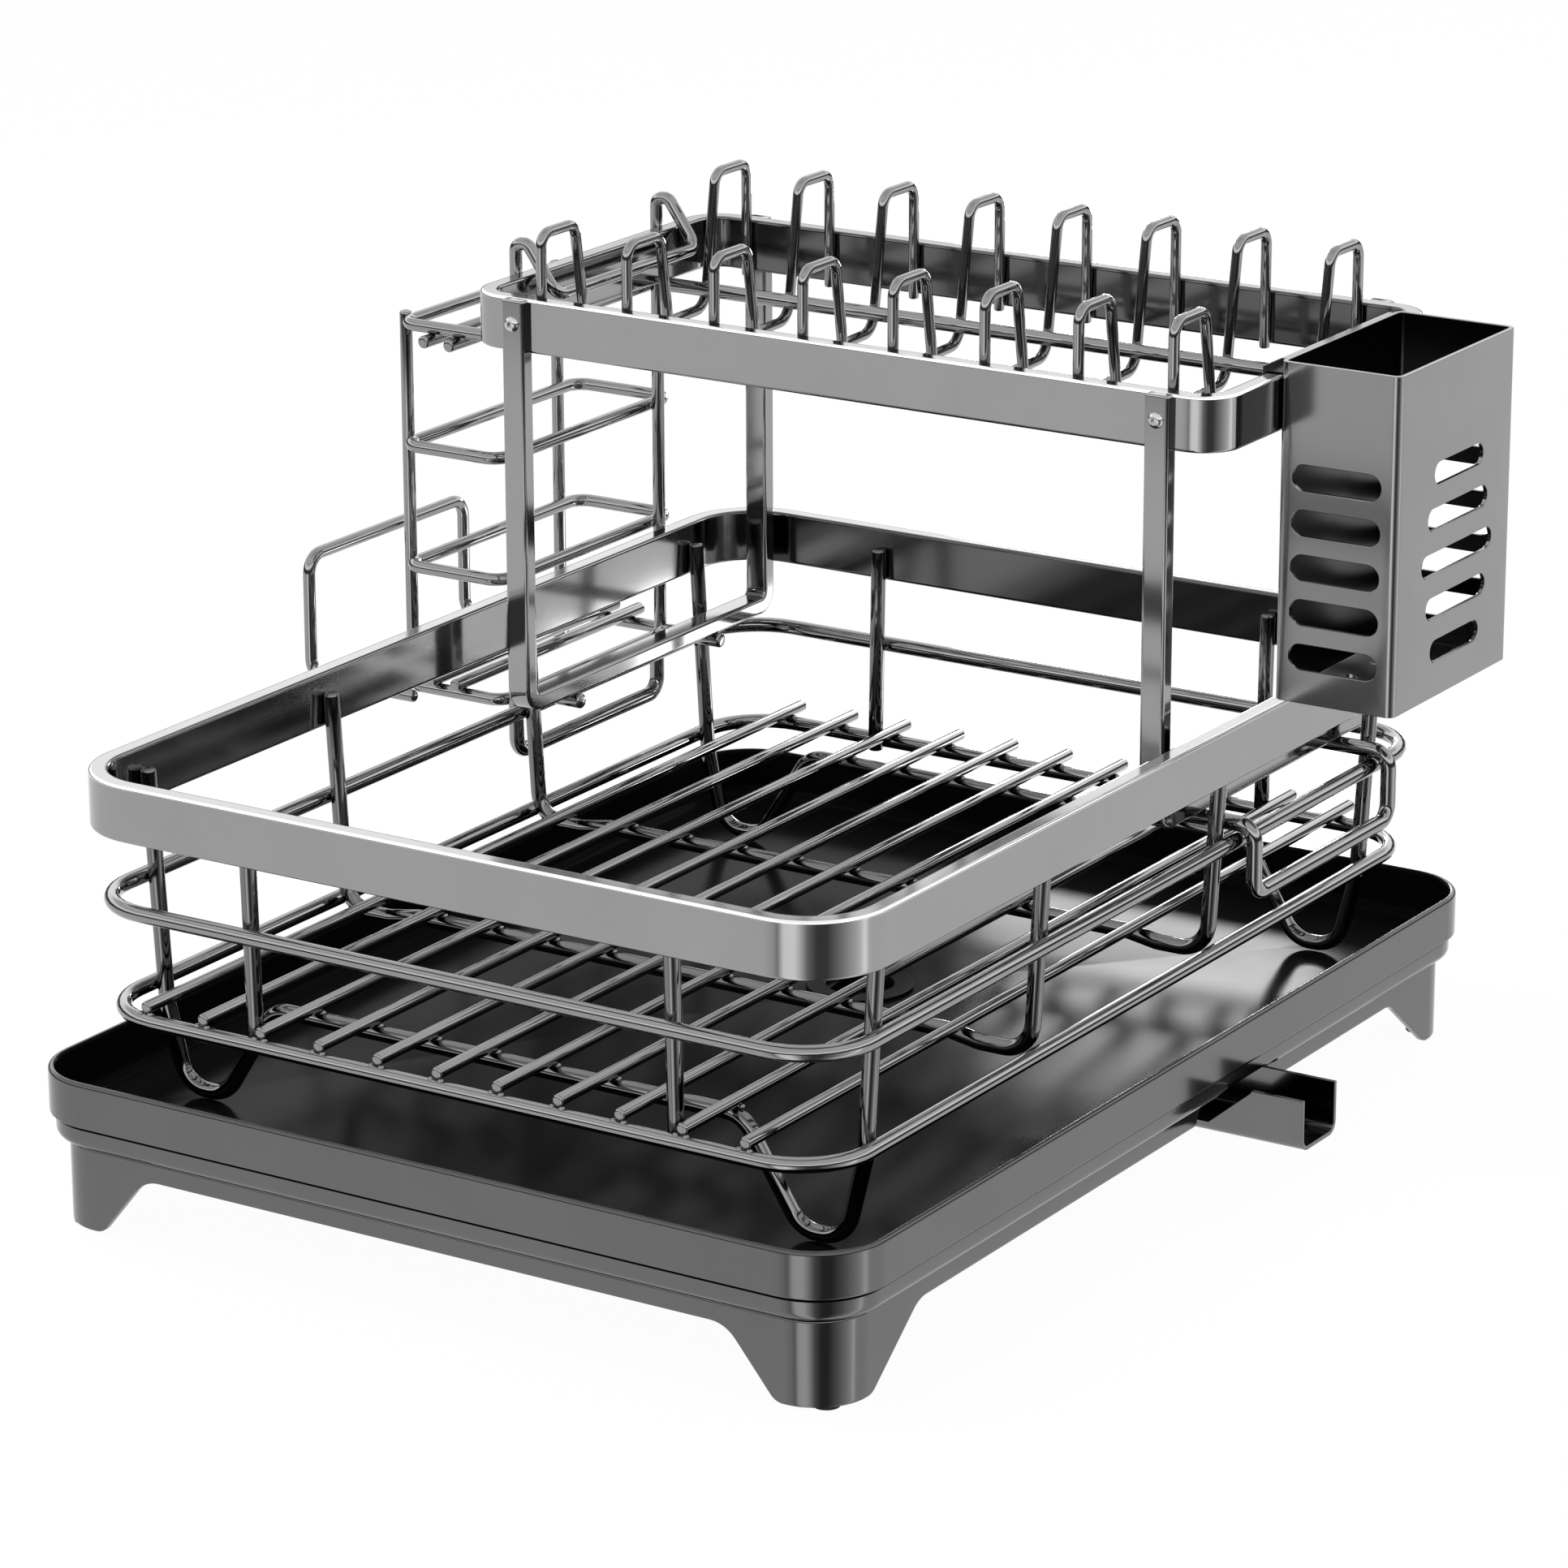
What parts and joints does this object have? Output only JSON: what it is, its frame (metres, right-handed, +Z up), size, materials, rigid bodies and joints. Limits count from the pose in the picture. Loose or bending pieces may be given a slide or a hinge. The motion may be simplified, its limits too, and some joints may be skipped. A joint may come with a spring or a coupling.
{
  "type": "dish rack",
  "caption": "Two-tier countertop dish rack: a wire basket in a drip tray with a swivel spout, and a raised plate tier with a slotted utensil holder and a side cup holder.",
  "frame": {"origin": "on the counter, under the middle of the whole rack with both hung-on holders", "axes": "+X towards the utensil holder's side, +Y from the open front to the tier, +Z up"},
  "size_m": [0.4418, 0.43, 0.2927],
  "materials": {
    "tray_plastic": "satin to gloss",
    "pad_rubber": "matte",
    "drain_plastic": "satin",
    "spout_plastic": "satin",
    "coated_steel": "glossy dark grey coat",
    "holder_steel": "satin dark grey coat",
    "screw_steel": "satin"
  },
  "bodies": {
    "tray": {"tray_basin": "tray_plastic", "tray_skirt": "tray_plastic", "foot_pads": "pad_rubber", "drain_collar": "drain_plastic"},
    "spout": {"swivel_spout": "spout_plastic"},
    "basket": {"basket_rim_band": "coated_steel", "basket_mid_ring": "coated_steel", "basket_bottom_ring": "coated_steel", "floor_wire_1": "coated_steel", "floor_wire_2": "coated_steel", "floor_wire_3": "coated_steel", "floor_wire_4": "coated_steel", "floor_wire_5": "coated_steel", "floor_wire_6": "coated_steel", "floor_wire_7": "coated_steel", "floor_wire_8": "coated_steel", "floor_wire_9": "coated_steel", "floor_wire_10": "coated_steel", "floor_wire_11": "coated_steel", "front_foot_wire": "coated_steel", "rear_foot_wire": "coated_steel", "front_cross_wire": "coated_steel", "rear_cross_wire": "coated_steel", "front_left_upright": "coated_steel", "front_right_upright": "coated_steel", "rear_left_upright": "coated_steel", "rear_right_upright": "coated_steel"},
    "tier": {"tier_band": "coated_steel", "left_leg": "coated_steel", "right_leg": "coated_steel", "leg_screws": "screw_steel", "left_hanger_loop": "coated_steel", "right_hanger_loop": "coated_steel", "front_support_wire": "coated_steel", "rear_support_wire": "coated_steel", "plate_wire_1": "coated_steel", "plate_wire_2": "coated_steel", "plate_wire_3": "coated_steel", "plate_wire_4": "coated_steel", "plate_wire_5": "coated_steel", "plate_wire_6": "coated_steel", "plate_wire_7": "coated_steel", "plate_wire_8": "coated_steel"},
    "utensil_holder": {"holder_shell": "holder_steel", "holder_hook": "holder_steel"},
    "side_holder": {"cage_ring_1": "coated_steel", "cage_ring_2": "coated_steel", "cage_ring_3": "coated_steel", "cage_shelf_ring": "coated_steel", "cage_hook_frame": "coated_steel", "cage_front_upright": "coated_steel", "cage_rear_upright": "coated_steel", "cage_top_bars": "coated_steel", "cage_shelf_bars": "coated_steel", "cup_rail": "coated_steel"}
  },
  "joints": [
    {"name": "spout_swivel", "type": "hinge", "parent": "tray", "child": "spout", "pos_m": [0.02535, 0.0524, 0.0215], "axis": [0, 0, 1], "range_deg": [-7, 0]},
    {"name": "basket_lift", "type": "slide", "parent": "tray", "child": "basket", "axis": [0, 0, 1], "range_m": [0, 0.06]},
    {"name": "tier_lift", "type": "slide", "parent": "basket", "child": "tier", "axis": [0, 0, 1], "range_m": [0, 0.015]},
    {"name": "utensil_holder_lift", "type": "slide", "parent": "tier", "child": "utensil_holder", "axis": [0, 0, 1], "range_m": [0, 0.04]},
    {"name": "side_holder_lift", "type": "slide", "parent": "tier", "child": "side_holder", "axis": [0, 0, 1], "range_m": [0, 0.04]}
  ]
}
